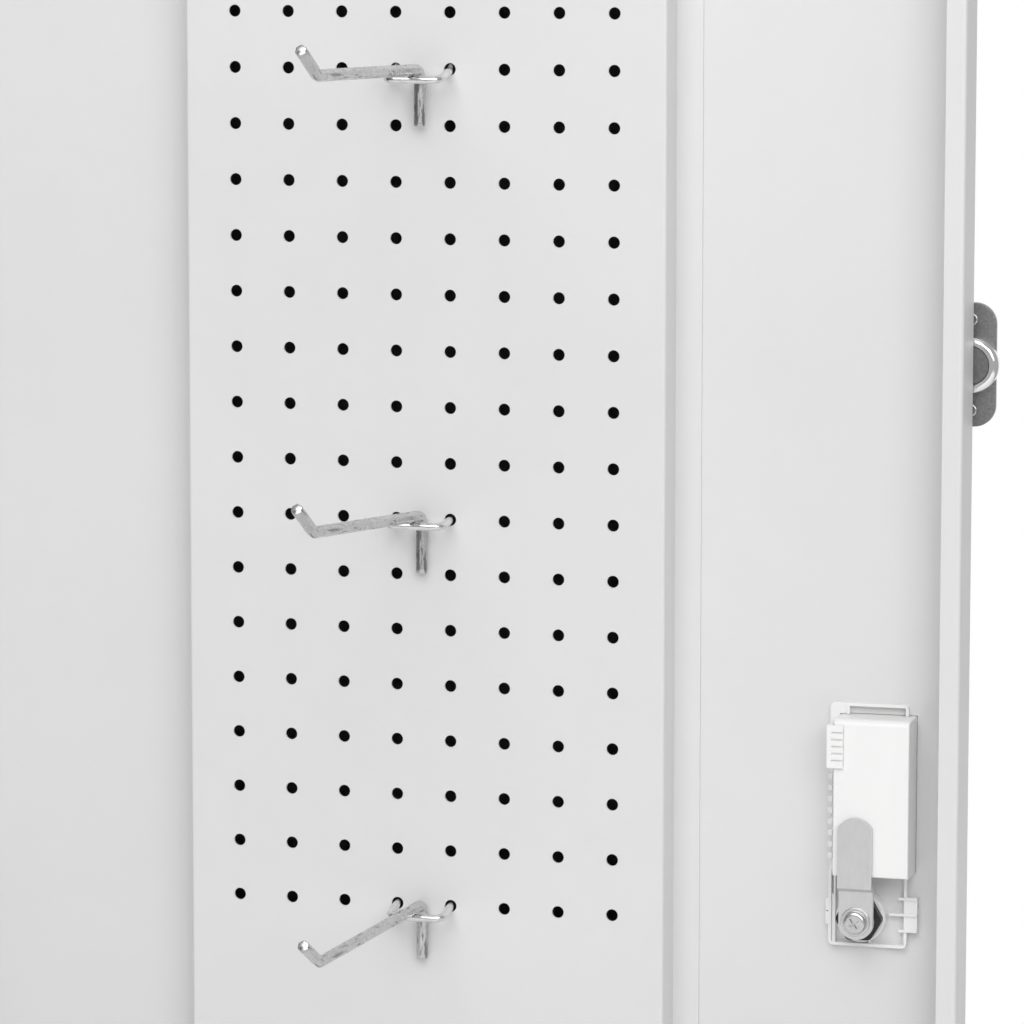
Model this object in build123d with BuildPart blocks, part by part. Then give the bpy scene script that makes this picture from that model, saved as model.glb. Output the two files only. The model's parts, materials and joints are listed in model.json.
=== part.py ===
from build123d import *
from math import atan2, cos, hypot, pi, radians, sin, tan
import os

# Pegboard tool wall: a steel cabinet door whose inner side carries a perforated tool panel.
#
# Frame: the origin is the middle of the lower hinge's cabinet-side screw holes, on the face that
# lies against the cabinet. +X runs from the hinge edge to the free edge, +Z is up, and the side
# with the pegboard looks along -Y. The cabinet leaves of the hinges stand at 90 degrees to the
# closed position. All lengths are in millimetres.

os.makedirs("parts", exist_ok=True)

# ---------------------------------------------------------------- driving dimensions
sheet = 1.0  # steel sheet of the door and of the pegboard panel
clear = 0.3  # gap between parts that pass each other

# hinges: two five-knuckle butt hinges
leaf_height = 75.0
leaf_width = 27.0  # from the pin's axis to the leaf's outer edge
leaf_t = 2.0
leaf_half_gap = 0.6  # from the axis to the inner face of either leaf
knuckle_r = 4.0
knuckle_count = 5
pin_r = 2.0
pin_running_gap = 0.06
pin_head_r = 3.2
pin_head_t = 1.6
screw_line = 16.0  # from the pin's axis to the line of leaf screws
screw_pitch = 25.0
screw_r = 2.0
screw_hole_r = 2.1
screw_head_r = 3.6
screw_sink = 0.1  # how far the heads lie below the leaf's face
screw_end = 1.0  # how far the screws reach past the backing plates
screw_cross = (3.2, 0.8)
screw_cross_depth = 0.9
backing_t = 2.5
backing_width = 16.0

# door leaf
door_width = 496.0
door_height = 690.0
door_depth = 25.0
door_stand = 0.4  # from the hinge knuckles to the skin's outer face
hinge_inset = 80.0  # from the door's top or bottom edge to a hinge's middle
lip_width = 9.0  # the inner lip that is folded in from all four edges
fold_r = 2.0

# pegboard panel: a tray-shaped panel welded on the door's skin, holes on a one inch grid
board_width = 225.5
board_height = 592.0
board_rise = 20.0  # from the door's skin to the panel's face
board_flange = 12.0
board_fold_r = 1.5
pitch = 25.4
peg_columns = 8
peg_rows = 18
peg_hole_r = 2.75

# hooks: a bent hexagonal bar welded on a wire staple whose two prongs hook in behind the panel
arm_r = 2.8  # from the bar's middle to a corner, before the corners are rounded
arm_corner_r = 0.9
staple_r = 1.8
arm_reach = 153.0  # from the panel's face to the bend of the tip
leg_drop = 24.5
leg_gap = 0.2  # between the leg and the panel
leg_bend_r = 5.0
tip_length = 25.0
tip_rise = 26.0  # degrees above the line of the arm
tip_bend_r = 9.0
bar_stand = 14.5  # from the panel's face to the staple's front bar
bar_corner_r = 4.5
prong_bend_r = 8.0
prong_top = 17.0
weld_sink = 0.28  # how far the unrounded corner of the bar is sunk into the staple
cut_chamfer = 0.4
# name: row counted from the bottom, pulled forward, dropped, staple's front bar below its holes,
# rise of the arm in degrees, lean of the arm towards the hinge edge in degrees
hooks = {
    "top": (15, 2.0, 0.95, 3.35, 1.0, -0.5),
    "middle": (7, 0.0, 0.0, 1.75, 4.1, 0.7),
    "bottom": (0, 0.0, 0.0, 3.35, 1.6, 0.0),
}

# handle: a moulded finger recess with a cam lock below it. Heights are measured down from the
# row of holes just below the door's middle, and places along X from the door's middle.
recess_x = 207.2
recess_width = 34.4
recess_top = 108.9
recess_height = 71.0
recess_depth = 17.5  # how far it stands up from the door's skin
recess_wall = 1.8
recess_shoulder_r = 3.0
recess_edge_r = 0.8
recess_fit = 0.2  # between the recess and the frame around it
bezel_x = 205.0
bezel_width = 48.0
bezel_height = 124.0
bezel_t = 2.5
bezel_edge_r = 1.2
frame_left = 185.3
frame_width = 35.9
frame_top = 103.7
frame_height = 110.6
frame_t = 2.0
frame_corner_r = 2.5
rim_width = 1.3
rim_rise = 1.3
loop_inset = 9.0  # from the frame's left edge to the top loop
window_inset = 3.2  # from the frame's left edge to the lower window
slot_width = 1.2
slot_height = 9.0
slot_drop = 186.5
tooth_count = 8
tooth_pitch = 5.15
tooth_drop = 155.0
tooth_width = 1.8
tooth_height = 2.4
tooth_rise = 3.2
side_clip_drop = 198.8  # the two clips level with the lock
left_clip_width = 2.4
left_clip_height = 12.0
left_clip_overhang = 1.2
left_clip_slot = 0.7
right_clip_width = 5.4
right_clip_height = 15.8
right_clip_overhang = 4.8
right_rib_pitch = 7.3
right_rib_width = 1.1
right_rib_lengths = (8.4, 12.6, 8.4)
right_rib_rise = 0.8
foot_rib_x = 203.6  # small rib on the lower rim
foot_rib_height = 1.2
snap_drop = 121.1  # ribbed clip over the recess's upper left edge
snap_left = 187.4
snap_width = 7.3
snap_height = 19.4
snap_t = 1.4
snap_leg = 1.9
groove_count = 5
groove_pitch = 3.15
groove_width = 0.8
groove_length = 5.2
groove_depth = 0.9

# cam lock
lock_x = 200.6
lock_drop = 200.6
barrel_r = 8.0
barrel_reach = 14.2  # from the door's skin to the barrel's end
barrel_flange_r = 10.5
barrel_flange_t = 1.5
barrel_edge_r = 0.8
plug_r = 5.5
plug_running_gap = 0.06
tang = 6.0
tang_gap = 0.05
key_slot = (1.2, 7.0)
collar_r = 11.2
collar_height = 6.0
collar_edge_r = 0.6
nut_r = 10.8
nut_corner_cut = 0.4
nut_height = 4.5
cam_width = 15.6
cam_t = 2.2
cam_reach = 47.5  # from the lock's axis to the cam's tip
cam_tip_r = 9.2
cam_back = 8.1
cam_joggle = 14.7  # from the lock's axis to the middle of the crank
cam_crank = 3.6
cam_crank_run = 2.0
cam_corner_r = 1.6
wafer_count = 5
wafer_t = 1.1
wafer_pitch = 2.4
wafer_width = 4.3
wafer_height = 9.4
wafer_start = 3.0  # from the plug's front to the first wafer
wafer_gap = 0.1
washer_r = 6.6
washer_t = 1.0
washer_edge_r = 0.4
cam_screw_r = 1.6
cam_screw_head_r = 5.4
cam_screw_head_t = 2.8
cam_screw_dome_r = 2.0
cam_screw_length = 7.0
cross_length = 5.4
cross_width = 1.1
cross_depth = 1.7
cross_turn = 38.0

# catch at the free edge: a pot magnet on an oval plate, held by a cranked bracket
catch_x = 245.9
catch_rise = 48.8
catch_gap = 0.6  # between the pot's rim and the door's outer face
catch_plate_width = 21.6
catch_plate_height = 55.2
catch_plate_t = 1.5
cup_r = 12.6
cup_height = 5.4
cup_floor = 1.5
magnet_r = 8.4
magnet_sink = 0.7
cup_lip_r = 2.6
cup_mouth_r = 1.0
magnet_fit = 0.05
magnet_edge_r = 0.4
catch_plate_corner = 1.2  # how much sharper than half round its ends are
catch_plate_edge_r = 0.5
catch_screw_pitch = 40.4
catch_screw_r = 1.6
catch_screw_head_r = 2.9
catch_screw_head_t = 1.3
catch_screw_dome_r = 0.9
catch_screw_end = 1.0
catch_cross = (3.4, 0.7)
catch_cross_depth = 0.8
catch_cross_turn = 40.0
bracket_start = 196.0  # from the door's middle to the bracket's inner end
bracket_foot = 22.0
bracket_slant = 0.6

# ---------------------------------------------------------------- places worked out from them
axis_x = screw_line
axis_y = -(leaf_half_gap + leaf_t)
edge_x = axis_x + leaf_half_gap + leaf_t  # the hinge edge
mid_x = edge_x + door_width / 2
outer_y = axis_y - knuckle_r - door_stand  # outer face of the skin
skin_y = outer_y - sheet  # inner face of the skin
lip_y = outer_y - door_depth  # inner face of the whole door
face_y = skin_y - board_rise  # face of the pegboard
mid_z = door_height / 2 - hinge_inset
upper_z = door_height - 2 * hinge_inset
row_z = mid_z - pitch / 2
recess_z = row_z - recess_top - recess_height / 2
recess_y = skin_y - recess_depth
bezel_y = outer_y + bezel_t
frame_z = row_z - frame_top - frame_height / 2
frame_x = frame_left + frame_width / 2
lock_z = row_z - lock_drop
barrel_end_y = skin_y - barrel_reach
catch_z = row_z + catch_rise
knuckle_h = leaf_height / knuckle_count


def facing(y):
    """Plane at this Y whose sketches read as X and Z, extruded towards the pegboard side."""
    return Plane.XZ.offset(-y)


def save(part, label):
    part.label = label
    export_step(part, f"parts/{label}.step")


# ---------------------------------------------------------------- door leaf
with BuildPart() as door_pan:
    with Locations((mid_x, (outer_y + lip_y) / 2, mid_z)):
        Box(door_width, door_depth, door_height)
    around = door_pan.faces().filter_by(Axis.Y).edges()
    fillet(around, fold_r)
    with Locations((mid_x, (outer_y + lip_y) / 2, mid_z)):
        Box(door_width - 2 * sheet, door_depth - 2 * sheet, door_height - 2 * sheet,
            mode=Mode.SUBTRACT)
    with BuildSketch(facing(lip_y + 2 * sheet)):
        with Locations((mid_x, mid_z)):
            Rectangle(door_width - 2 * lip_width, door_height - 2 * lip_width)
    extrude(amount=3 * sheet, mode=Mode.SUBTRACT)
    # cut-outs in the skin for the finger recess and the lock barrel
    with BuildSketch(facing(outer_y)):
        with Locations((mid_x + recess_x, recess_z)):
            Rectangle(recess_width + 2 * clear, recess_height + 2 * clear)
        with Locations((mid_x + lock_x, lock_z)):
            Circle(barrel_r + clear)
    extrude(amount=sheet, mode=Mode.SUBTRACT)
    # holes in the hinge edge for the leaf screws
    with BuildSketch(Plane.YZ.offset(edge_x)):
        for z in (0, upper_z):
            with Locations((axis_y - screw_line, z)):
                with GridLocations(1, screw_pitch, 1, 3):
                    Circle(screw_hole_r)
    extrude(amount=sheet, mode=Mode.SUBTRACT)
save(door_pan.part, "door_pan")

# ---------------------------------------------------------------- pegboard panel
with BuildPart() as pegboard_panel:
    with Locations((mid_x, (face_y + skin_y) / 2, mid_z)):
        Box(board_width, board_rise, board_height)
    fillet(pegboard_panel.faces().sort_by(Axis.Y)[0].edges(), board_fold_r)
    with Locations((mid_x, (face_y + skin_y + sheet) / 2, mid_z)):
        Box(board_width - 2 * sheet, board_rise - sheet, board_height - 2 * sheet,
            mode=Mode.SUBTRACT)
    with BuildSketch(facing(skin_y)):
        for side in (-1, 1):
            with Locations((mid_x + side * (board_width + board_flange) / 2, mid_z)):
                Rectangle(board_flange, board_height)
    extrude(amount=sheet)
    with BuildSketch(facing(face_y + sheet)):
        with Locations((mid_x, mid_z)):
            with GridLocations(pitch, pitch, peg_columns, peg_rows):
                Circle(peg_hole_r)
    extrude(amount=sheet, mode=Mode.SUBTRACT)
save(pegboard_panel.part, "pegboard_panel")


# ---------------------------------------------------------------- hinges
def hinge_leaf(plane, knuckles, bore_r):
    """Leaf drawn with its own X away from the pin, its own Z up and its inner face at +Y."""
    knuckle_z = [knuckle_h * (i - (knuckle_count - 1) / 2) for i in knuckles]
    start = knuckle_r + clear
    with BuildPart(plane) as leaf:
        with Locations(((leaf_width + start) / 2, leaf_half_gap + leaf_t / 2, 0)):
            Box(leaf_width - start, leaf_t, leaf_height)
        with Locations([(start / 2, leaf_half_gap + leaf_t / 2, z) for z in knuckle_z]):
            Box(start, leaf_t, knuckle_h - clear)
        with Locations([(0, 0, z) for z in knuckle_z]):
            Cylinder(knuckle_r, knuckle_h - clear)
            Cylinder(bore_r, knuckle_h, mode=Mode.SUBTRACT)
        inner_face = Plane(origin=(screw_line, leaf_half_gap, 0), x_dir=(1, 0, 0),
                           z_dir=(0, -1, 0))
        with Locations(inner_face):
            with GridLocations(1, screw_pitch, 1, 3):
                CounterSinkHole(screw_hole_r, screw_head_r, leaf_t, 90)
    return leaf.part


def hinge_pin(plane):
    """Pin with a domed head on each end."""
    with BuildPart(plane) as pin:
        Cylinder(pin_r, leaf_height)
        with Locations((0, 0, (leaf_height + pin_head_t) / 2),
                       (0, 0, -(leaf_height + pin_head_t) / 2)):
            Cylinder(pin_head_r, pin_head_t)
        for end in (-1, 0):
            fillet(pin.faces().sort_by(Axis.Z)[end].edges(), pin_head_t / 2)
    return pin.part


for place, z in (("lower", 0.0), ("upper", upper_z)):
    pin_point = (axis_x, axis_y, z)
    on_door = Plane(origin=pin_point, x_dir=(0, -1, 0), z_dir=(0, 0, 1))
    on_cabinet = Plane(origin=pin_point, x_dir=(-1, 0, 0), z_dir=(0, 0, -1))
    save(hinge_leaf(on_door, (1, 3), pin_r + pin_running_gap), f"hinge_{place}_door_leaf")
    save(hinge_leaf(on_cabinet, (0, 2, 4), pin_r), f"hinge_{place}_cabinet_leaf")
    save(hinge_pin(Plane(pin_point)), f"hinge_{place}_pin")

# tapped plates behind the hinge edge
with BuildPart() as hinge_backing_plates:
    with BuildSketch(Plane.YZ.offset(edge_x + sheet)):
        for z in (0, upper_z):
            with Locations((axis_y - screw_line, z)):
                Rectangle(backing_width, leaf_height)
                with GridLocations(1, screw_pitch, 1, 3):
                    Circle(screw_r, mode=Mode.SUBTRACT)
    extrude(amount=backing_t)
save(hinge_backing_plates.part, "hinge_backing_plates")

# countersunk screws with a cross recess
screw_face = Plane.YZ.offset(edge_x - leaf_t + screw_sink)
screw_rim_r = screw_head_r - screw_sink
screw_spots = [(axis_y - screw_line, z + step * screw_pitch)
               for z in (0, upper_z) for step in (-1, 0, 1)]
with BuildPart() as hinge_screws:
    with BuildSketch(screw_face):
        with Locations(*screw_spots):
            Circle(screw_rim_r)
    extrude(amount=screw_rim_r - screw_r, taper=45)
    with BuildSketch(screw_face):
        with Locations(*screw_spots):
            Circle(screw_r)
    extrude(amount=leaf_t + sheet + backing_t + screw_end)
    with BuildSketch(screw_face):
        with Locations(*screw_spots):
            Rectangle(*screw_cross)
            Rectangle(*screw_cross, rotation=90)
    extrude(amount=screw_cross_depth, mode=Mode.SUBTRACT)
save(hinge_screws.part, "hinge_screws")

# ---------------------------------------------------------------- hooks
def prong_corner(bar_drop):
    """The corner of the prong's bend: its Y, its height over the hole, its setback to the arc."""
    side_slope = atan2(bar_drop, bar_stand + sheet / 2)
    setback = prong_bend_r * tan((pi / 2 - side_slope) / 2)
    corner_y = face_y + sheet / 2 + setback * cos(side_slope)
    return corner_y, setback * sin(side_slope), setback


def hook_arm(x, z, forward, bar_drop, rise, lean):
    """Bar: a leg down the panel, a tight bend, the arm over the staple, a raised tip."""
    leg_y = face_y - arm_r - leg_gap - forward
    bar_y = face_y - bar_stand - forward
    bend_y = face_y - arm_reach - forward
    over_bar = z - bar_drop + staple_r + arm_r - weld_sink
    slope = tan(radians(rise))
    tip = radians(rise + tip_rise)
    bend_z = over_bar + (bar_y - bend_y) * slope
    tip_y = bend_y - tip_length * cos(tip)
    side = tan(radians(lean))
    with BuildPart() as arm:
        with BuildLine() as path:
            FilletPolyline(
                (x, leg_y, z - leg_drop),
                (x, leg_y, over_bar - (leg_y - bar_y) * slope),
                (x - (leg_y - bend_y) * side, bend_y, bend_z),
                (x - (leg_y - tip_y) * side, tip_y, bend_z + tip_length * sin(tip)),
                radius=[leg_bend_r, tip_bend_r],
            )
        wire = path.wires()[0]
        with BuildSketch(Plane(origin=wire @ 0, x_dir=(1, 0, 0), z_dir=wire % 0)):
            bar = RegularPolygon(arm_r, 6, rotation=30)
            fillet(bar.vertices(), arm_corner_r)
        sweep(path=wire)
        for end in (wire @ 0, wire @ 1):
            chamfer(arm.faces().sort_by_distance(end)[0].edges(), cut_chamfer)
    return arm.part


def hook_staple(x, z, forward, bar_drop):
    """Wire staple: front bar, a side through each hole, and prongs turned up behind the panel."""
    half = pitch / 2
    bar_y = face_y - bar_stand - forward
    bar_z = z - bar_drop
    prong_y, prong_z, _ = prong_corner(bar_drop)
    back_y = prong_y - forward
    with BuildPart() as staple:
        with BuildLine() as path:
            FilletPolyline(
                (x - half, back_y, z + prong_top),
                (x - half, back_y, z + prong_z),
                (x - half, bar_y, bar_z),
                (x + half, bar_y, bar_z),
                (x + half, back_y, z + prong_z),
                (x + half, back_y, z + prong_top),
                radius=[prong_bend_r, bar_corner_r, bar_corner_r, prong_bend_r],
            )
        wire = path.wires()[0]
        with BuildSketch(Plane(origin=wire @ 0, z_dir=wire % 0)):
            Circle(staple_r)
        sweep(path=wire)
        chamfer(staple.faces().filter_by(GeomType.PLANE).edges(), cut_chamfer)
    return staple.part


for name, (row, forward, drop, bar_drop, rise, lean) in hooks.items():
    hole_z = mid_z + (row - (peg_rows - 1) / 2) * pitch - drop
    save(hook_arm(mid_x, hole_z, forward, bar_drop, rise, lean), f"hook_{name}_arm")
    save(hook_staple(mid_x, hole_z, forward, bar_drop), f"hook_{name}_staple")

# ---------------------------------------------------------------- handle
def block(x0, x1, drop, height, y, rise):
    """Box in the active part: from x0 to x1, centred drop below the row, standing up from y."""
    with Locations((mid_x + (x0 + x1) / 2, y - rise / 2, row_z - drop)):
        Box(x1 - x0, rise, height)


# moulded body: bezel on the door's outer face, finger recess through the skin
with BuildPart() as handle_recess:
    with Locations((mid_x + recess_x, (outer_y + recess_y) / 2, recess_z)):
        Box(recess_width, outer_y - recess_y, recess_height)
    front = handle_recess.faces().sort_by(Axis.Y)[0]
    fillet(front.edges().sort_by(Axis.Z)[-1], recess_shoulder_r)
    fillet(handle_recess.faces().sort_by(Axis.Y)[0].edges(), recess_edge_r)
    with Locations((mid_x + bezel_x, (outer_y + bezel_y) / 2, frame_z)):
        Box(bezel_width, bezel_t, bezel_height)
    fillet(handle_recess.faces().sort_by(Axis.Y)[-1].edges(), bezel_edge_r)
    with Locations((mid_x + recess_x, (bezel_y + recess_y + recess_wall) / 2, recess_z)):
        Box(recess_width - 2 * recess_wall, bezel_y - recess_y - recess_wall,
            recess_height - 2 * recess_wall, mode=Mode.SUBTRACT)
    with BuildSketch(facing(bezel_y)):
        with Locations((mid_x + lock_x, lock_z)):
            Circle(barrel_r)
    extrude(amount=bezel_t, mode=Mode.SUBTRACT)
save(handle_recess.part, "handle_recess")

# back frame on the inner side of the skin: top loop, toothed left edge, lower window and clips
frame_right = frame_left + frame_width
frame_low = frame_top + frame_height
loop_left = frame_left + loop_inset
loop_right = frame_right - rim_width
loop_top = frame_top + rim_width
loop_low = recess_top - recess_fit
window_left = frame_left + window_inset
window_top = recess_top + recess_height + recess_fit
window_low = frame_low - rim_width
frame_face_y = skin_y - frame_t
with BuildPart() as handle_back_frame:
    with BuildSketch(facing(skin_y)):
        with Locations((mid_x + frame_x, frame_z)):
            RectangleRounded(frame_width, frame_height, frame_corner_r)
    extrude(amount=frame_t)
    with BuildSketch(facing(frame_face_y)):
        with Locations((mid_x + frame_x, frame_z)):
            RectangleRounded(frame_width, frame_height, frame_corner_r)
            RectangleRounded(frame_width - 2 * rim_width, frame_height - 2 * rim_width,
                             frame_corner_r - rim_width, mode=Mode.SUBTRACT)
        # the rim starts beside the loop, and on the left below the teeth
        with Locations((mid_x + (frame_left + loop_left - rim_width) / 2,
                        row_z - (frame_top + window_top) / 2)):
            Rectangle(loop_inset - rim_width, window_top - frame_top, mode=Mode.SUBTRACT)
        with Locations((mid_x + loop_left - rim_width / 2, row_z - (frame_top + loop_low) / 2)):
            Rectangle(rim_width, loop_low - frame_top)
        with Locations((mid_x + window_left - rim_width / 2,
                        row_z - (window_top + window_low) / 2)):
            Rectangle(rim_width, window_low - window_top)
    extrude(amount=rim_rise)
    # loop, lower window and slot go right through
    with BuildSketch(facing(skin_y)):
        with Locations((mid_x + (loop_left + loop_right) / 2, row_z - (loop_top + loop_low) / 2)):
            Rectangle(loop_right - loop_left, loop_low - loop_top)
        with Locations((mid_x + (window_left + loop_right) / 2,
                        row_z - (window_top + window_low) / 2)):
            Rectangle(loop_right - window_left, window_low - window_top)
        with Locations((mid_x + recess_x, recess_z)):
            Rectangle(recess_width + 2 * recess_fit, recess_height + 2 * recess_fit)
        with Locations((mid_x + frame_left + rim_width + slot_width / 2, row_z - slot_drop)):
            Rectangle(slot_width, slot_height)
    extrude(amount=frame_t + rim_rise, mode=Mode.SUBTRACT)
    # teeth along the left edge
    for i in range(tooth_count):
        block(frame_left, frame_left + tooth_width,
              tooth_drop + (i - (tooth_count - 1) / 2) * tooth_pitch, tooth_height,
              frame_face_y, tooth_rise)
    # left clip, split by a slot, and right clip with three ribs across the rim
    left_clip_x = frame_left - left_clip_overhang
    block(left_clip_x, left_clip_x + left_clip_width, side_clip_drop, left_clip_height, skin_y,
          frame_t + rim_rise)
    with Locations((mid_x + left_clip_x, skin_y - (frame_t + rim_rise) / 2,
                    row_z - side_clip_drop)):
        Box(2 * left_clip_overhang, frame_t + rim_rise, left_clip_slot, mode=Mode.SUBTRACT)
    right_clip_x = frame_right + right_clip_overhang
    block(right_clip_x - right_clip_width, right_clip_x, side_clip_drop, right_clip_height, skin_y,
          frame_t + rim_rise)
    for step, length in enumerate(right_rib_lengths, start=-1):
        block(right_clip_x - length, right_clip_x, side_clip_drop + step * right_rib_pitch,
              right_rib_width, frame_face_y, rim_rise + right_rib_rise)
    # small rib on the lower rim
    block(foot_rib_x, foot_rib_x + rim_width, window_low - foot_rib_height / 2, foot_rib_height,
          skin_y, frame_t)
save(handle_back_frame.part, "handle_back_frame")

# ribbed clip that reaches over the recess's edge from a leg beside it
with BuildPart() as handle_snap_strip:
    snap_y = recess_y - clear
    leg_right = recess_x - recess_width / 2 - clear
    block(snap_left, snap_left + snap_width, snap_drop, snap_height, snap_y, snap_t)
    with Locations((mid_x + leg_right - snap_leg / 2, (frame_face_y + snap_y) / 2,
                    row_z - snap_drop)):
        Box(snap_leg, frame_face_y - snap_y, snap_height)
    for i in range(groove_count):
        with Locations((mid_x + snap_left + snap_width - groove_length / 2,
                        snap_y - snap_t + groove_depth / 2,
                        row_z - snap_drop + (i - (groove_count - 1) / 2) * groove_pitch)):
            Box(groove_length, groove_depth, groove_width, mode=Mode.SUBTRACT)
save(handle_snap_strip.part, "handle_snap_strip")


# ---------------------------------------------------------------- cam lock
def on_lock(y):
    """Plane square to the lock's axis at this Y, with its own origin on the axis."""
    return Plane(origin=(mid_x + lock_x, y, lock_z), x_dir=(1, 0, 0), z_dir=(0, -1, 0))


lock_front_y = bezel_y + barrel_flange_t
with BuildPart() as lock_collar:
    with BuildSketch(on_lock(skin_y)):
        Circle(collar_r)
        Circle(barrel_r + clear / 3, mode=Mode.SUBTRACT)
    extrude(amount=collar_height)
    fillet(lock_collar.faces().sort_by(Axis.Y)[0].edges(), collar_edge_r)
save(lock_collar.part, "lock_collar")

with BuildPart() as lock_barrel:
    with BuildSketch(on_lock(lock_front_y)):
        Circle(barrel_flange_r)
    extrude(amount=barrel_flange_t)
    fillet(lock_barrel.faces().sort_by(Axis.Y)[-1].edges(), barrel_edge_r)
    with BuildSketch(on_lock(bezel_y)):
        Circle(barrel_r)
    extrude(amount=bezel_y - barrel_end_y)
    with BuildSketch(on_lock(lock_front_y)):
        Circle(plug_r + plug_running_gap)
    extrude(amount=lock_front_y - barrel_end_y, mode=Mode.SUBTRACT)
save(lock_barrel.part, "lock_barrel")

with BuildPart() as lock_nut:
    with BuildSketch(on_lock(skin_y - collar_height)):
        RegularPolygon(nut_r, 6)
        Circle(nut_r - nut_corner_cut, mode=Mode.INTERSECT)
        Circle(barrel_r, mode=Mode.SUBTRACT)
    extrude(amount=nut_height)
save(lock_nut.part, "lock_nut")

wafer_first_y = lock_front_y - wafer_start
with BuildPart() as lock_plug:
    with BuildSketch(on_lock(lock_front_y)):
        Circle(plug_r)
    extrude(amount=lock_front_y - barrel_end_y)
    with BuildSketch(on_lock(barrel_end_y)):
        Rectangle(tang, tang)
    extrude(amount=cam_t)
    with BuildSketch(on_lock(lock_front_y)):
        Rectangle(*key_slot)
    extrude(amount=wafer_start + wafer_count * wafer_pitch, mode=Mode.SUBTRACT)
    for i in range(wafer_count):
        with BuildSketch(on_lock(wafer_first_y - i * wafer_pitch)):
            Rectangle(wafer_width + 2 * wafer_gap, wafer_height + 4 * wafer_gap)
        extrude(amount=wafer_t + 2 * wafer_gap, mode=Mode.SUBTRACT)
    with BuildSketch(on_lock(barrel_end_y - cam_t)):
        Circle(cam_screw_r)
    extrude(amount=-(cam_screw_length - washer_t), mode=Mode.SUBTRACT)
save(lock_plug.part, "lock_plug")

# the wafers' key windows differ, as the cuts of a key do
window_width = key_slot[0] + 0.4
window_heights = (4.0, 4.5, 5.0, 4.0, 4.5)
with BuildPart() as lock_wafers:
    for i, window_height in enumerate(window_heights):
        with BuildSketch(on_lock(wafer_first_y - i * wafer_pitch - wafer_gap)):
            Rectangle(wafer_width, wafer_height)
            Rectangle(window_width, window_height, mode=Mode.SUBTRACT)
        extrude(amount=wafer_t)
save(lock_wafers.part, "lock_wafers")

# cam: flat strip cranked forward so that its finger passes over the recess
cam_y = barrel_end_y
cam_high_y = cam_y - cam_crank
crank_low_z = lock_z + cam_joggle - cam_crank_run / 2
crank_high_z = lock_z + cam_joggle + cam_crank_run / 2
crank_shift = cam_t * (hypot(cam_crank, cam_crank_run) - cam_crank_run) / cam_crank
with BuildPart() as lock_cam:
    with BuildSketch(Plane.YZ.offset(mid_x + lock_x - cam_width / 2)):
        with BuildLine():
            Polyline(
                (cam_y, lock_z - cam_back),
                (cam_y, crank_low_z + crank_shift),
                (cam_high_y, crank_high_z + crank_shift),
                (cam_high_y, lock_z + cam_reach),
                (cam_high_y - cam_t, lock_z + cam_reach),
                (cam_high_y - cam_t, crank_high_z),
                (cam_y - cam_t, crank_low_z),
                (cam_y - cam_t, lock_z - cam_back),
                close=True,
            )
        make_face()
    extrude(amount=cam_width)
    # outline: round about the screw below, a flatter arch with broken corners at the tip
    with BuildSketch(on_lock(cam_y)) as outline:
        Circle(cam_back)
        with Locations((0, cam_reach - cam_tip_r)):
            Circle(cam_tip_r)
        with Locations((0, (cam_reach - cam_tip_r) / 2)):
            Rectangle(2 * cam_tip_r, cam_reach - cam_tip_r)
        with Locations((0, (cam_reach - cam_back) / 2)):
            Rectangle(cam_width, cam_reach + cam_back, mode=Mode.INTERSECT)
        fillet(outline.vertices().sort_by(Axis.Y)[-2:], cam_corner_r)
    extrude(amount=cam_crank + cam_t, mode=Mode.INTERSECT)
    with BuildSketch(on_lock(cam_y)):
        Rectangle(tang + 2 * tang_gap, tang + 2 * tang_gap)
    extrude(amount=cam_t, mode=Mode.SUBTRACT)
save(lock_cam.part, "lock_cam")

washer_y = cam_y - cam_t
with BuildPart() as lock_washer:
    with BuildSketch(on_lock(washer_y)):
        Circle(washer_r)
        Circle(cam_screw_r + 2 * clear / 3, mode=Mode.SUBTRACT)
    extrude(amount=washer_t)
    fillet(lock_washer.faces().sort_by(Axis.Y)[0].outer_wire().edges(), washer_edge_r)
save(lock_washer.part, "lock_washer")

screw_seat_y = washer_y - washer_t
with BuildPart() as lock_cam_screw:
    with BuildSketch(on_lock(screw_seat_y)):
        Circle(cam_screw_head_r)
    extrude(amount=cam_screw_head_t)
    fillet(lock_cam_screw.faces().sort_by(Axis.Y)[0].edges(), cam_screw_dome_r)
    with BuildSketch(on_lock(screw_seat_y)):
        Circle(cam_screw_r)
    extrude(amount=-cam_screw_length)
    with BuildSketch(on_lock(screw_seat_y - cam_screw_head_t)):
        Rectangle(cross_length, cross_width, rotation=cross_turn)
        Rectangle(cross_width, cross_length, rotation=cross_turn)
    extrude(amount=-cross_depth, mode=Mode.SUBTRACT)
save(lock_cam_screw.part, "lock_cam_screw")


# ---------------------------------------------------------------- catch at the free edge
def on_catch(y):
    """Plane square to the pot's axis at this Y, with its own origin on the axis."""
    return Plane(origin=(mid_x + catch_x, y, catch_z), x_dir=(1, 0, 0), z_dir=(0, -1, 0))


catch_end_r = catch_plate_width / 2 - catch_plate_corner
cup_rim_y = outer_y + catch_gap
cup_back_y = cup_rim_y + cup_height
plate_back_y = cup_back_y + catch_plate_t
bracket_back_y = plate_back_y + catch_plate_t

with BuildPart() as catch_cup:
    with BuildSketch(on_catch(cup_back_y)):
        Circle(cup_r)
    extrude(amount=cup_height)
    with BuildSketch(on_catch(cup_back_y - cup_floor)):
        Circle(magnet_r)
    extrude(amount=cup_height, mode=Mode.SUBTRACT)
    fillet(catch_cup.faces().sort_by(Axis.Y)[0].outer_wire().edges(), cup_lip_r)
    fillet(catch_cup.faces().sort_by(Axis.Y)[0].inner_wires()[0].edges(), cup_mouth_r)
save(catch_cup.part, "catch_cup")

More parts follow.
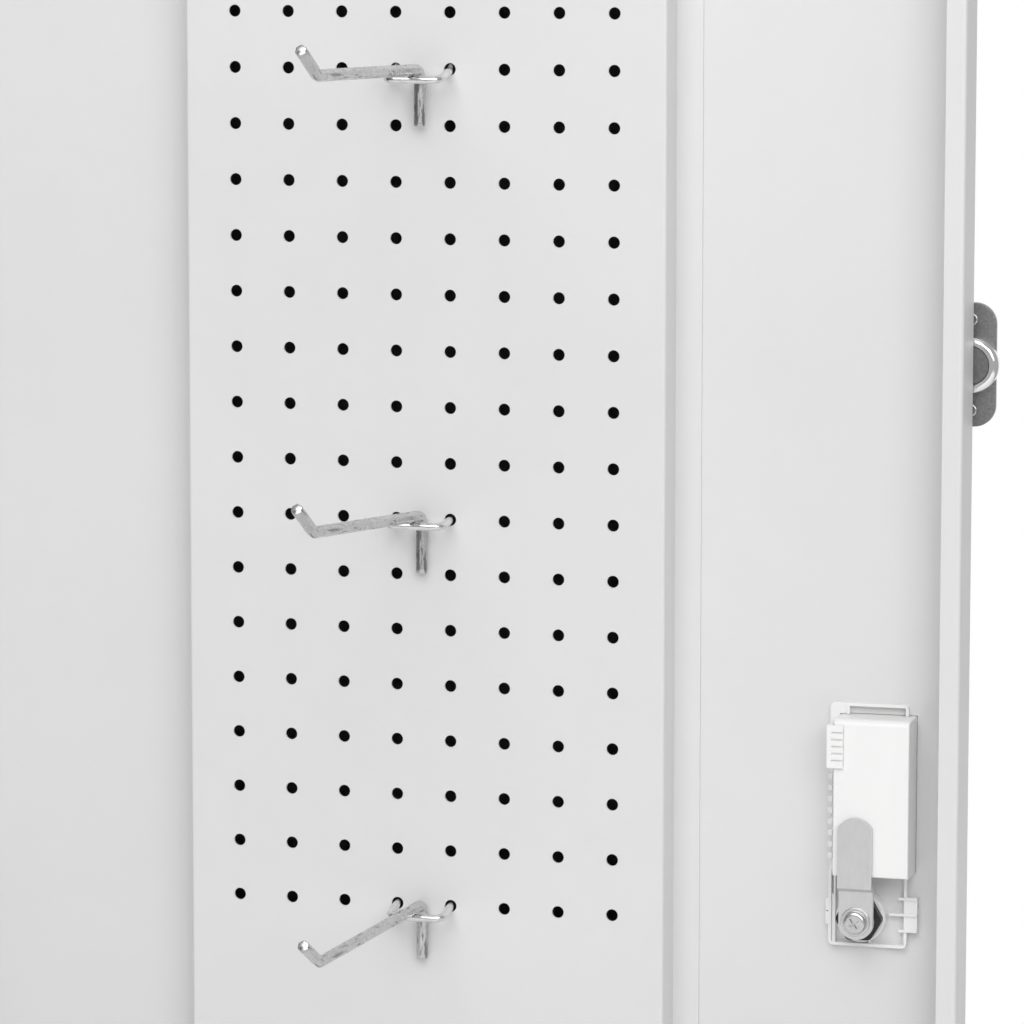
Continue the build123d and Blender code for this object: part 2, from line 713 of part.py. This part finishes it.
with BuildPart() as catch_magnet:
    with BuildSketch(on_catch(cup_back_y - cup_floor)):
        Circle(magnet_r - magnet_fit)
    extrude(amount=cup_height - cup_floor - magnet_sink)
    fillet(catch_magnet.faces().sort_by(Axis.Y)[0].edges(), magnet_edge_r)
save(catch_magnet.part, "catch_magnet")

with BuildPart() as catch_plate:
    with BuildSketch(on_catch(plate_back_y)):
        RectangleRounded(catch_plate_width, catch_plate_height, catch_end_r)
        with GridLocations(1, catch_screw_pitch, 1, 2):
            Circle(catch_screw_r, mode=Mode.SUBTRACT)
    extrude(amount=catch_plate_t)
    fillet(catch_plate.faces().sort_by(Axis.Y)[0].outer_wire().edges(), catch_plate_edge_r)
save(catch_plate.part, "catch_plate")

with BuildPart() as catch_bracket:
    with BuildSketch(Plane.XY.offset(catch_z - catch_plate_height / 2)):
        foot_end = mid_x + bracket_start + bracket_foot
        wing_start = foot_end + bracket_back_y - outer_y - catch_plate_t
        wing_end = mid_x + catch_x + catch_plate_width / 2
        with BuildLine():
            Polyline(
                (mid_x + bracket_start, outer_y),
                (foot_end + bracket_slant, outer_y),
                (wing_start + bracket_slant, plate_back_y),
                (wing_end, plate_back_y),
                (wing_end, bracket_back_y),
                (wing_start, bracket_back_y),
                (foot_end, outer_y + catch_plate_t),
                (mid_x + bracket_start, outer_y + catch_plate_t),
                close=True,
            )
        make_face()
    extrude(amount=catch_plate_height)
    with BuildSketch(facing(bracket_back_y)):
        reach = catch_x + catch_plate_width / 2 - bracket_start
        with Locations((mid_x + bracket_start + reach / 2, catch_z)):
            RectangleRounded(reach, catch_plate_height, catch_end_r)
    extrude(amount=bracket_back_y - outer_y, mode=Mode.INTERSECT)
    with BuildSketch(on_catch(bracket_back_y)):
        with GridLocations(1, catch_screw_pitch, 1, 2):
            Circle(catch_screw_r)
    extrude(amount=catch_plate_t, mode=Mode.SUBTRACT)
save(catch_bracket.part, "catch_bracket")

with BuildPart() as catch_screws:
    with BuildSketch(on_catch(cup_back_y)):
        with GridLocations(1, catch_screw_pitch, 1, 2):
            Circle(catch_screw_head_r)
    extrude(amount=catch_screw_head_t)
    fillet(catch_screws.faces().sort_by(Axis.Y)[:2].edges(), catch_screw_dome_r)
    with BuildSketch(on_catch(cup_back_y)):
        with GridLocations(1, catch_screw_pitch, 1, 2):
            Circle(catch_screw_r)
    extrude(amount=-(2 * catch_plate_t + catch_screw_end))
    with BuildSketch(on_catch(cup_back_y - catch_screw_head_t)):
        with GridLocations(1, catch_screw_pitch, 1, 2):
            Rectangle(*catch_cross, rotation=catch_cross_turn)
            Rectangle(*catch_cross, rotation=catch_cross_turn + 90)
    extrude(amount=-catch_cross_depth, mode=Mode.SUBTRACT)
save(catch_screws.part, "catch_screws")
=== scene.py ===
"""Looks for the pegboard tool wall: camera, light, materials and the detailed hook meshes.

Everything is in metres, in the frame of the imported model.
"""

import json
import math

import bmesh
import bpy
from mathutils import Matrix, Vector, noise


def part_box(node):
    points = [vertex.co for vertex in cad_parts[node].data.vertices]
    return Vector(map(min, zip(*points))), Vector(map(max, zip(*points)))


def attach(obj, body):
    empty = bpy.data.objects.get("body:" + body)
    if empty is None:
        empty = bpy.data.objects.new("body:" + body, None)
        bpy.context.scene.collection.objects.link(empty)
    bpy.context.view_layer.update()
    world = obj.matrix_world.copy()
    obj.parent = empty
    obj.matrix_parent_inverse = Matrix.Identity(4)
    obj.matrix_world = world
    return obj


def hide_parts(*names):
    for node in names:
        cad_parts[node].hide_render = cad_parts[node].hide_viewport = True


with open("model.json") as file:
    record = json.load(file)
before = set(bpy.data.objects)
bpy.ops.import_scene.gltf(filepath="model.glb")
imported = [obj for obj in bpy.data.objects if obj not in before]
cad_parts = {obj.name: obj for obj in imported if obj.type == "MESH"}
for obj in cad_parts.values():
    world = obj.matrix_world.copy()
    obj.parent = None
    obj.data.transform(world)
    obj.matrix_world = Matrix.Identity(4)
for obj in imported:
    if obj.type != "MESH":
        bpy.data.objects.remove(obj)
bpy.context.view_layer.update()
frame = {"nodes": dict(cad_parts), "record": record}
nodes = frame["nodes"]
MM = 0.001

# ---------------------------------------------------------------- sizes used by the looks
HOLE_PITCH = 25.4 * MM
BAR_R = 2.8 * MM  # the hook's bar, from its middle to a corner of its rounded hexagon
WIRE_R = 1.8 * MM
LEG_BEND_R = 5.0 * MM
TIP_BEND_R = 9.0 * MM
TIP_LENGTH = 25.0 * MM
TIP_RISE = 26.0
LEG_DROP = 24.5 * MM
BAR_STAND = 14.5 * MM
ARM_REACH = 153.0 * MM
BAR_CORNER_R = 4.5 * MM
PRONG_BEND_R = 8.0 * MM
PRONG_TOP = 17.0 * MM
BAR_ROUND = 0.9 * MM
WELD_SINK = 0.28 * MM
LEG_GAP = 0.2 * MM
HOOK_RISE = {"top": 1.0, "middle": 4.1, "bottom": 1.6}  # degrees
HOOK_LEAN = {"top": -0.5, "middle": 0.7, "bottom": 0.0}  # degrees
HOOK_FORWARD = {"top": 2.0 * MM, "middle": 0.0, "bottom": 0.0}
BAR_DROP = {"top": 3.35 * MM, "middle": 1.75 * MM, "bottom": 3.35 * MM}
SHEET = 1.0 * MM
PANEL_FLANGE = 12.0 * MM
FACE_MARGIN = 0.9 * MM  # how far behind a face a polygon's middle lies when it is a hidden one
SKIN_MARGIN = 0.4 * MM  # the same for the door's skin, in from its outer face
BAR_SIDES = 60
WIRE_SIDES = 28

# stage
FLOOR_DROP = 0.12  # below the door
FLOOR_RADIUS = 1.45
FLOOR_FORWARD = 0.95  # its middle, in front of the panel's face

# light; lamps are placed from the middle of the panel's face
ROOM_LEFT = 0.10  # brightness of the room to the front left, against 1 for the wall behind
ROOM_RIGHT = 0.42
KEY_POWER = 30.0
FILL_POWER = 15.0
KEY_PLACE = Vector((0.1, -1.8, 1.5))
FILL_PLACE = Vector((1.5, -1.9, 0.9))
KEY_SIZE = 1.8
FILL_SIZE = 1.2

# camera, placed from the middle of the panel's face
CAMERA_PLACE = Vector((0.6590, -2.1503, 0.2443))
CAMERA_DOWN = 7.08  # degrees
CAMERA_ROLL = -0.03
CAMERA_TURN = 16.02
CAMERA_LENS = 175.8

panel_low, panel_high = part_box("pegboard_panel")
panel_x = (panel_low.x + panel_high.x) / 2
panel_z = (panel_low.z + panel_high.z) / 2
face_y = panel_low.y
pan_low, pan_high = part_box("door_pan")


# ---------------------------------------------------------------- node helpers
class Tree:
    """A material's nodes, with short calls for the kinds used here."""

    def __init__(self, name, **sockets):
        self.material = bpy.data.materials.new(name)
        self.material.use_nodes = True
        self.tree = self.material.node_tree
        self.shader = self.tree.nodes["Principled BSDF"]
        for socket, value in sockets.items():
            self.shader.inputs[socket.replace("_", " ")].default_value = value
        self.place = self.add("ShaderNodeTexCoord").outputs["Object"]

    def add(self, kind, inputs=None, **props):
        made = self.tree.nodes.new(kind)
        for key, value in props.items():
            setattr(made, key, value)
        for key, value in (inputs or {}).items():
            if isinstance(value, bpy.types.NodeSocket):
                self.tree.links.new(value, made.inputs[key])
            else:
                made.inputs[key].default_value = value
        return made

    def stretched(self, scale, source=None):
        return self.add("ShaderNodeMapping", {"Vector": source or self.place,
                                              "Scale": scale}).outputs["Vector"]

    def noise(self, scale, detail=2.0, rough=0.5, at=None):
        made = self.add("ShaderNodeTexNoise", {"Vector": at or self.place, "Scale": scale,
                                               "Detail": detail, "Roughness": rough})
        return made.outputs["Fac"]

    def fit(self, value, low, high, to_low, to_high):
        made = self.add("ShaderNodeMapRange", {"Value": value, "From Min": low, "From Max": high,
                                               "To Min": to_low, "To Max": to_high})
        made.clamp = True
        return made.outputs["Result"]

    def math(self, operation, a, b):
        return self.add("ShaderNodeMath", {0: a, 1: b}, operation=operation).outputs[0]

    def ramp(self, value, stops):
        made = self.add("ShaderNodeValToRGB", {"Fac": value})
        ramp = made.color_ramp
        while len(ramp.elements) < len(stops):
            ramp.elements.new(0.5)
        for element, (position, colour) in zip(ramp.elements, stops):
            element.position = position
            element.color = (*colour, 1.0)
        return made.outputs["Color"]

    def blend(self, factor, a, b):
        made = self.add("ShaderNodeMix", data_type="RGBA")
        for socket, value in (("Factor", factor), ("A", a), ("B", b)):
            target = next(s for s in made.inputs
                          if s.name == socket and s.type == ("VALUE" if socket == "Factor" else "RGBA"))
            if isinstance(value, bpy.types.NodeSocket):
                self.tree.links.new(value, target)
            else:
                target.default_value = value if socket == "Factor" else (*value, 1.0)
        return next(s for s in made.outputs if s.type == "RGBA")

    def bump(self, height, depth, strength=1.0, under=None):
        inputs = {"Height": height, "Distance": depth, "Strength": strength}
        if under is not None:
            inputs["Normal"] = under
        return self.add("ShaderNodeBump", inputs).outputs["Normal"]

    def use(self, **links):
        for socket, source in links.items():
            self.tree.links.new(source, self.shader.inputs[socket.replace("_", " ")])
        return self.material


def grey(value, warmth=0.0):
    return (value * (1 + warmth), value, value * (1 - warmth))


def powder_coat(name, tone, painted_shade_behind=None):
    """Satin powder coat: orange peel, slow drift of tone, faint wiping marks. The optional box paints
    dark grey shade on the door's skin behind the pegboard, so its holes look dark.
    """
    t = Tree(name, IOR=1.5)
    t.shader.inputs["Coat Weight"].default_value = 0.12
    t.shader.inputs["Coat Roughness"].default_value = 0.25
    drift = t.noise(5.0, 3.0)
    cloud = t.noise(38.0, 4.0, 0.6)
    colour = t.ramp(drift, [(0.3, grey(tone * 0.975)), (0.7, grey(tone * 1.015))])
    colour = t.blend(t.fit(cloud, 0.35, 0.75, 0.0, 0.25), colour, grey(tone * 0.955, 0.004))
    wipe = t.noise(60.0, 3.0, at=t.stretched((1.0, 1.0, 0.16)))
    rough = t.fit(wipe, 0.3, 0.7, 0.40, 0.50)
    peel = t.noise(620.0, 2.0, 0.45)
    fine = t.noise(2600.0, 1.0)
    normal = t.bump(fine, 0.000006, 0.5, under=t.bump(peel, 0.00004, 0.55))
    # painted shade: inside this box the door's skin behind the pegboard is coloured dark grey, standing
    # in for the shade seen through the holes
    if painted_shade_behind is not None:
        x0, x1, z0, z1, y0 = painted_shade_behind
        apart = t.add("ShaderNodeSeparateXYZ", {"Vector": t.place})
        shade_mask = t.math("MULTIPLY", t.math("GREATER_THAN", apart.outputs["X"], x0),
                        t.math("LESS_THAN", apart.outputs["X"], x1))
        shade_mask = t.math("MULTIPLY", shade_mask, t.math("GREATER_THAN", apart.outputs["Z"], z0))
        shade_mask = t.math("MULTIPLY", shade_mask, t.math("LESS_THAN", apart.outputs["Z"], z1))
        shade_mask = t.math("MULTIPLY", shade_mask, t.math("LESS_THAN", apart.outputs["Y"], y0))
        colour = t.blend(shade_mask, colour, grey(0.2))
    return t.use(Base_Color=colour, Roughness=rough, Normal=normal)


def painted_shade_back(name):
    """Painted shade: near-black steel colour for the side of the panel that faces the door's skin, so
    its holes look dark.
    """
    t = Tree(name, Metallic=0.4)
    colour = t.ramp(t.noise(30.0, 4.0), [(0.3, grey(0.07)), (0.7, grey(0.11))])
    rough = t.fit(t.noise(80.0), 0.3, 0.7, 0.55, 0.75)
    return t.use(Base_Color=colour, Roughness=rough)


def plated(name, tone, rough, streak=(1.0, 1.0, 1.0), tint=0.0, contrast=0.1, grain=900.0):
    """Metal with a drawn or brushed grain; streak stretches the grain along one direction."""
    t = Tree(name, Metallic=1.0)
    lined = t.noise(grain, 4.0, 0.6, at=t.stretched(streak))
    cloud = t.noise(90.0, 4.0, 0.6)
    colour = t.ramp(lined, [(0.25, grey(tone * (1 - contrast), tint)), (0.6, grey(tone, tint)),
                            (0.8, grey(min(1.0, tone * (1 + 0.5 * contrast)), tint))])
    colour = t.blend(t.fit(cloud, 0.4, 0.75, 0.0, 0.5), colour, grey(tone * (1 - contrast), tint))
    roughness = t.fit(t.noise(220.0, 3.0), 0.3, 0.7, rough * 0.85, rough * 1.2)
    normal = t.bump(lined, 0.00001, 0.6)
    return t.use(Base_Color=colour, Roughness=roughness, Normal=normal)


def hook_zinc(name, tone, rough, scuffs):
    """Zinc plate on drawn bar: lengthwise drawing lines, short dark scuffs, cloudy dull patches."""
    t = Tree(name, Metallic=1.0)
    along = t.add("ShaderNodeAttribute", attribute_name="along").outputs["Vector"]
    lined = t.noise(1500.0, 3.0, 0.6, at=t.stretched((1.0, 1.0, 0.05), along))
    dash = t.noise(620.0, 2.0, 0.6, at=t.stretched((1.0, 1.0, 0.13), along))
    cloud = t.noise(160.0, 4.0, 0.65, at=along)
    spangle = t.noise(700.0, 3.0, 0.7, at=along)
    colour = t.ramp(lined, [(0.3, grey(tone * 0.9)), (0.65, grey(tone * 1.04))])
    colour = t.blend(t.fit(cloud, 0.42, 0.7, 0.0, 0.55), colour, grey(tone * 0.82))
    colour = t.blend(t.fit(spangle, 0.5, 0.72, 0.0, 0.35), colour, grey(min(0.95, tone * 1.18)))
    colour = t.blend(t.fit(dash, 0.57, 0.63, 0.0, scuffs), colour, grey(tone * 0.42))
    roughness = t.fit(cloud, 0.3, 0.7, rough * 0.8, rough * 1.25)
    normal = t.bump(lined, 0.000012, 0.6)
    normal = t.bump(dash, 0.00003, 0.35, under=normal)
    return t.use(Base_Color=colour, Roughness=roughness, Normal=normal)


def moulded(name, tone):
    """Moulded plastic: a fine spark-eroded grain, faint flow clouding and soft satin gloss."""
    t = Tree(name, IOR=1.49)
    t.shader.inputs["Subsurface Weight"].default_value = 0.06
    t.shader.inputs["Subsurface Radius"].default_value = (0.0012, 0.001, 0.0009)
    flow = t.noise(45.0, 3.0, 0.55, at=t.stretched((1.0, 1.0, 0.35)))
    colour = t.ramp(flow, [(0.3, grey(tone * 0.975, 0.003)), (0.7, grey(tone, 0.003))])
    rough = t.fit(t.noise(150.0, 3.0), 0.3, 0.7, 0.33, 0.42)
    grain = t.noise(2200.0, 2.0)
    return t.use(Base_Color=colour, Roughness=rough, Normal=t.bump(grain, 0.000012, 0.6))


def dull(name, tone, rough, metallic=0.0, grain=600.0, tint=0.0):
    """Cloudy, slightly grained surface: oxide, ferrite, cast or blackened metal."""
    t = Tree(name, Metallic=metallic)
    spots = t.noise(grain, 4.0, 0.6)
    cloud = t.noise(grain / 8, 3.0)
    colour = t.ramp(spots, [(0.3, grey(tone * 0.75, tint)), (0.7, grey(tone * 1.2, tint))])
    roughness = t.fit(cloud, 0.3, 0.7, rough * 0.85, rough * 1.15)
    return t.use(Base_Color=colour, Roughness=roughness, Normal=t.bump(spots, 0.00002, 0.5))


# the box behind the pegboard where the door's skin gets painted shade
shade_behind_panel = (panel_low.x + PANEL_FLANGE + SHEET, panel_high.x - PANEL_FLANGE - SHEET,
                panel_low.z + SHEET, panel_high.z - SHEET, pan_high.y - SKIN_MARGIN)
materials = {
    "door_paint": powder_coat("door_paint", 0.71, shade_behind_panel),
    "panel_paint": powder_coat("panel_paint", 0.71),
    "hinge_steel": powder_coat("hinge_steel", 0.69),
    "hook_zinc": hook_zinc("hook_zinc", 0.60, 0.26, 1.0),
    "hook_wire_zinc": hook_zinc("hook_wire_zinc", 0.78, 0.18, 0.3),
    "white_plastic": moulded("white_plastic", 0.86),
    "cam_steel": plated("cam_steel", 0.72, 0.36, (1.0, 1.0, 0.35), contrast=0.06, grain=420.0),
    "screw_zinc": plated("screw_zinc", 0.66, 0.28),
    "lock_chrome": plated("lock_chrome", 0.72, 0.2, contrast=0.05),
    "nut_dark": dull("nut_dark", 0.035, 0.42, 0.6),
    "wafer_brass": plated("wafer_brass", 0.62, 0.3, (0.1, 1.0, 1.0), tint=0.22),
    "hinge_pin_steel": plated("hinge_pin_steel", 0.6, 0.25, (1.0, 1.0, 0.1)),
    "plain_steel": plated("plain_steel", 0.42, 0.45, (1.0, 1.0, 0.1)),
    "cup_chrome": plated("cup_chrome", 0.86, 0.12, contrast=0.03),
    "magnet_ferrite": dull("magnet_ferrite", 0.15, 0.5),
    "catch_dark_steel": dull("catch_dark_steel", 0.24, 0.4, 0.6, 900.0),
    "catch_screw_dark": dull("catch_screw_dark", 0.5, 0.25, 1.0, 900.0),
}
# painted shade for the back of the pegboard, seen through its holes
back_shade_material = painted_shade_back("panel_back_painted_shade")

for part in frame["record"]["subparts"]:
    node = nodes[part["node"]]
    node.data.materials.clear()
    node.data.materials.append(materials[part["material_slot"]])
    for polygon in node.data.polygons:
        polygon.use_smooth = True

# the panel's hidden side gets painted shade: every face behind its front sheet that looks inwards takes
# the near-black material
panel_mesh = nodes["pegboard_panel"].data
panel_mesh.materials.append(back_shade_material)
inset = PANEL_FLANGE + FACE_MARGIN
for polygon in panel_mesh.polygons:
    behind = polygon.center.y > face_y + FACE_MARGIN
    across = panel_low.x + inset < polygon.center.x < panel_high.x - inset
    between = panel_low.z + FACE_MARGIN < polygon.center.z < panel_high.z - FACE_MARGIN
    if behind and across and between:
        polygon.material_index = 1


# ---------------------------------------------------------------- swept bars and wires
def filleted(points, radii, step):
    """Points along a polyline whose inner corners are rounded, at most step apart."""
    corners = []
    for i in range(1, len(points) - 1):
        before = (points[i - 1] - points[i]).normalized()
        after = (points[i + 1] - points[i]).normalized()
        turn = math.pi - before.angle(after)
        back = radii[i - 1] * math.tan(turn / 2)
        centre = points[i] + (before + after).normalized() * radii[i - 1] / math.cos(turn / 2)
        start, end = points[i] + before * back, points[i] + after * back
        count = max(6, int(math.degrees(turn) / 5))
        arc = []
        for k in range(count + 1):
            spin = turn * k / count
            a, b = (start - centre), (end - centre)
            arc.append(centre + (a * math.sin(turn - spin) + b * math.sin(spin)) / math.sin(turn))
        corners.append(arc)
    line = [points[0]]
    for arc in corners + [[points[-1]]]:
        run = (arc[0] - line[-1]).length
        for k in range(1, int(run / step)):
            line.append(line[-1] + (arc[0] - line[-1]) / (int(run / step) - k + 1))
        line.extend(arc)
    return line


def sweep(name, line, side, section, count, cap_depth):
    """Mesh along a line. section(s, angle) gives the distance from the line; side is the frame's
    first direction at the start. Both ends are closed with a bevelled cap. The attribute
    "along" holds each point's place as if the bar were straight, for the lengthwise grain."""
    mesh = bmesh.new()
    layer = mesh.verts.layers.float_vector.new("along")
    lengths = [0.0]
    for a, b in zip(line, line[1:]):
        lengths.append(lengths[-1] + (b - a).length)
    total = lengths[-1]
    rings = []
    previous = (line[1] - line[0]).normalized()
    across = (side - previous * side.dot(previous)).normalized()
    for i, point in enumerate(line):
        after = line[min(i + 1, len(line) - 1)] - line[max(i - 1, 0)]
        tangent = after.normalized()
        across = (previous.rotation_difference(tangent) @ across).normalized()
        previous = tangent
        up = tangent.cross(across)
        steps = [(0.0, 1.0)]
        if i == 0:
            steps = [(0.0, 0.62), (cap_depth * 0.3, 0.9), (cap_depth, 1.0)]
        elif i == len(line) - 1:
            steps = [(-cap_depth, 1.0), (-cap_depth * 0.3, 0.9), (0.0, 0.62)]
        for shift, share in steps:
            ring = []
            for k in range(count):
                angle = 2 * math.pi * k / count
                r = section(lengths[i] + shift, angle)
                inset = r - cap_depth * (1 - share) / 0.38 if share < 1 else r
                a, b = math.cos(angle) * inset, math.sin(angle) * inset
                vert = mesh.verts.new(point + tangent * shift + across * a + up * b)
                vert[layer] = (a, b, lengths[i] + shift)
                ring.append(vert)
            rings.append(ring)
    for low, high in zip(rings, rings[1:]):
        for k in range(count):
            n = (k + 1) % count
            mesh.faces.new((low[k], low[n], high[n], high[k]))
    mesh.faces.new(list(reversed(rings[0])))
    mesh.faces.new(rings[-1])
    bmesh.ops.recalc_face_normals(mesh, faces=mesh.faces)
    for face in mesh.faces:
        face.smooth = True
    data = bpy.data.meshes.new(name)
    mesh.to_mesh(data)
    mesh.free()
    made = bpy.data.objects.new(name, data)
    bpy.context.scene.collection.objects.link(made)
    return made


def hexagon(angle):
    """Distance to the hook bar's rounded hexagon, whose corners lie on the frame's second axis."""
    off_corner = abs((angle - math.pi / 2 + math.pi / 6) % (math.pi / 3) - math.pi / 6)
    flat_r = BAR_R * math.cos(math.pi / 6)
    middle = (flat_r - BAR_ROUND) / math.cos(math.pi / 6)
    tangent = math.pi / 6 - math.atan(middle * math.sin(math.pi / 6) / flat_r)
    if off_corner > tangent:
        return flat_r / math.cos(math.pi / 6 - off_corner)
    return middle * math.cos(off_corner) + math.sqrt(
        BAR_ROUND ** 2 - (middle * math.sin(off_corner)) ** 2)


def dress(piece, body, slot_name, material, *replaced):
    piece.data.materials.append(material)
    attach(piece, body)
    if replaced:
        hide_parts(*replaced)


for place in ("top", "middle", "bottom"):
    body = f"hook_{place}"
    arm_low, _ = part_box(f"hook_{place}_arm")
    staple_low, staple_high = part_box(f"hook_{place}_staple")
    x = (staple_low.x + staple_high.x) / 2
    forward = HOOK_FORWARD[place]
    hook_z = arm_low.z + LEG_DROP
    bar_z = hook_z - BAR_DROP[place]
    over_bar = bar_z + WIRE_R + BAR_R - WELD_SINK
    leg_y = face_y - BAR_R - LEG_GAP - forward
    bar_y = face_y - BAR_STAND - forward
    bend_y = face_y - ARM_REACH - forward
    slope = math.tan(math.radians(HOOK_RISE[place]))
    lean = math.tan(math.radians(HOOK_LEAN[place]))
    tip = math.radians(HOOK_RISE[place] + TIP_RISE)
    bend_z = over_bar + (bar_y - bend_y) * slope
    tip_y = bend_y - TIP_LENGTH * math.cos(tip)
    corners = [
        Vector((x, leg_y, arm_low.z)),
        Vector((x, leg_y, over_bar - (leg_y - bar_y) * slope)),
        Vector((x - (leg_y - bend_y) * lean, bend_y, bend_z)),
        Vector((x - (leg_y - tip_y) * lean, tip_y, bend_z + TIP_LENGTH * math.sin(tip))),
    ]
    seed = Vector((11.0 * len(place), 3.0, 7.0))

    def bar_section(s, angle, seed=seed):
        wobble = noise.noise(seed + Vector((math.cos(angle), math.sin(angle), s * 90)))
        return hexagon(angle) * (0.992 + 0.006 * wobble)

    arm = sweep(f"hook_{place}_bar", filleted(corners, [LEG_BEND_R, TIP_BEND_R], 2.0 * MM),
                Vector((1, 0, 0)), bar_section, BAR_SIDES, 0.42 * MM)
    dress(arm, body, "hook_zinc", materials["hook_zinc"], f"hook_{place}_arm")

    # the staple's wire, squeezed a little where the bar is welded across it
    side_slope = math.atan2(BAR_DROP[place], BAR_STAND + SHEET / 2)
    setback = PRONG_BEND_R * math.tan((math.pi / 2 - side_slope) / 2)
    back_y = face_y + SHEET / 2 + setback * math.cos(side_slope) - forward
    back_z = hook_z + setback * math.sin(side_slope)
    half = HOLE_PITCH / 2
    corners = [
        Vector((x - half, back_y, hook_z + PRONG_TOP)),
        Vector((x - half, back_y, back_z)),
        Vector((x - half, bar_y, bar_z)),
        Vector((x + half, bar_y, bar_z)),
        Vector((x + half, back_y, back_z)),
        Vector((x + half, back_y, hook_z + PRONG_TOP)),
    ]
    wire = filleted(corners, [PRONG_BEND_R, BAR_CORNER_R, BAR_CORNER_R, PRONG_BEND_R], 1.2 * MM)
    wire_length = sum((b - a).length for a, b in zip(wire, wire[1:]))

    def wire_section(s, angle, seed=seed, middle=wire_length / 2):
        wobble = noise.noise(seed + Vector((math.cos(angle), math.sin(angle), s * 130)))
        weld = math.exp(-((s - middle) / (2.2 * MM)) ** 2)
        return WIRE_R * (0.993 + 0.005 * wobble - 0.06 * weld * abs(math.cos(2 * angle)))

    staple = sweep(f"hook_{place}_wire", wire, Vector((1, 0, 0)), wire_section, WIRE_SIDES, 0.35 * MM)
    dress(staple, body, "hook_zinc", materials["hook_wire_zinc"], f"hook_{place}_staple")

# ---------------------------------------------------------------- stage, light and camera
floor_z = pan_low.z - FLOOR_DROP
floor_mesh = bmesh.new()
bmesh.ops.create_circle(floor_mesh, cap_ends=True, radius=FLOOR_RADIUS, segments=96)
floor_data = bpy.data.meshes.new("floor")
floor_mesh.to_mesh(floor_data)
floor = bpy.data.objects.new("floor", floor_data)
floor.location = (panel_x, face_y - FLOOR_FORWARD, floor_z)
bpy.context.scene.collection.objects.link(floor)
floor_tree = Tree("floor_pale", Roughness=0.8)
floor_data.materials.append(floor_tree.use(
    Base_Color=floor_tree.ramp(floor_tree.noise(3.0, 2.0), [(0.3, grey(0.82)), (0.7, grey(0.86))])))

# the room: a white wall behind the door, a half dark room in front, darker to the left
world = bpy.data.worlds.new("studio")
world.use_nodes = True
room = world.node_tree
room_place = room.nodes.new("ShaderNodeTexCoord").outputs["Generated"]
room_apart = room.nodes.new("ShaderNodeSeparateXYZ")
room.links.new(room_place, room_apart.inputs["Vector"])


def room_ramp(axis, low, high, values):
    """Brightness that goes from one value to another along an axis of the room."""
    made = room.nodes.new("ShaderNodeMapRange")
    room.links.new(room_apart.outputs[axis], made.inputs["Value"])
    for socket, value in zip(("From Min", "From Max", "To Min", "To Max"), (low, high, *values)):
        made.inputs[socket].default_value = value
    made.clamp = True
    return made.outputs["Result"]


ahead = room_ramp("X", -0.9, -0.3, (ROOM_LEFT, ROOM_RIGHT))
behind = room.nodes.new("ShaderNodeMath")
behind.operation = "MULTIPLY"
room.links.new(room_ramp("Y", -0.2, 0.1, (0.0, 1.0)), behind.inputs[0])
room.links.new(room_ramp("X", 0.2, 0.5, (1.0, 0.0)), behind.inputs[1])
mixed = room.nodes.new("ShaderNodeMix")
room.links.new(behind.outputs[0], mixed.inputs["Factor"])
room.links.new(ahead, mixed.inputs["A"])
mixed.inputs["B"].default_value = 1.0
room.links.new(mixed.outputs["Result"], room.nodes["Background"].inputs["Color"])
bpy.context.scene.world = world
bpy.context.scene.view_settings.view_transform = "Standard"


def soft_box(name, place, aim, size, power):
    """Large square lamp at a place, aimed at a point."""
    lamp = bpy.data.lights.new(name, "AREA")
    lamp.shape = "SQUARE"
    lamp.size = size
    lamp.energy = power
    made = bpy.data.objects.new(name, lamp)
    made.location = place
    made.rotation_euler = (Vector(aim) - Vector(place)).to_track_quat("-Z", "Y").to_euler()
    made.visible_camera = False
    bpy.context.scene.collection.objects.link(made)


centre = Vector((panel_x, face_y, panel_z))
soft_box("key", centre + KEY_PLACE, centre, KEY_SIZE, KEY_POWER)
soft_box("right", centre + FILL_PLACE, centre, FILL_SIZE, FILL_POWER)

camera_data = bpy.data.cameras.new("camera")
camera_data.lens = CAMERA_LENS
camera_data.sensor_width = 36.0
camera_data.clip_end = 20.0
camera = bpy.data.objects.new("camera", camera_data)
camera.location = centre + CAMERA_PLACE
camera.rotation_euler = (math.radians(90 - CAMERA_DOWN), math.radians(CAMERA_ROLL),
                         math.radians(CAMERA_TURN))
bpy.context.scene.collection.objects.link(camera)
bpy.context.scene.camera = camera
